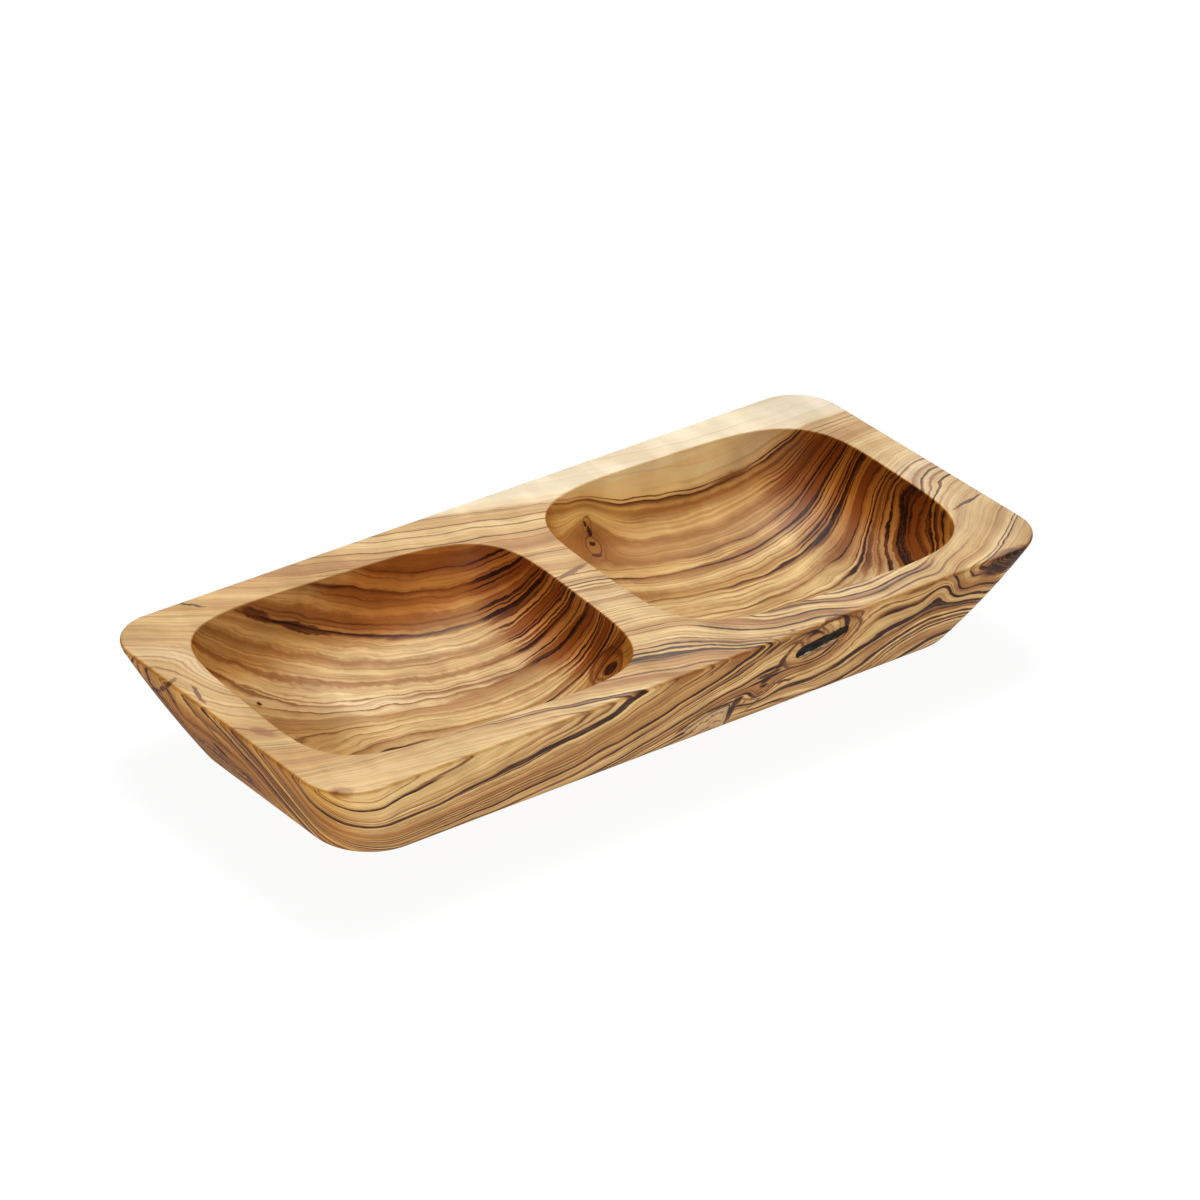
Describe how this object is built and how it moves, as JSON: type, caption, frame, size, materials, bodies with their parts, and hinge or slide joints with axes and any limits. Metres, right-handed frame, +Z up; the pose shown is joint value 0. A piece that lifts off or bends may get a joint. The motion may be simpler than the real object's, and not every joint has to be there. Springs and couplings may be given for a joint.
{
  "type": "olive dish",
  "caption": "Long rectangular serving dish carved from one block of olive wood, with rounded bowls side by side, a flat rim and walls that slope in to a flat base.",
  "frame": {"origin": "middle of the flat base, on the surface that the dish stands on", "axes": "+X along the dish towards the bowl on the right, +Y from the front long side to the back one, +Z up"},
  "size_m": [0.22, 0.1006, 0.03],
  "materials": {
    "olive_wood": "oiled satin, honey brown with dark wavy grain",
    "ingrown_bark": "rough, nearly black",
    "knot_wood": "oiled satin, pale with curved rings"
  },
  "bodies": {
    "root": {"dish_body": "olive_wood", "side_bark_core": "ingrown_bark", "edge_knot": "knot_wood"}
  },
  "joints": []
}
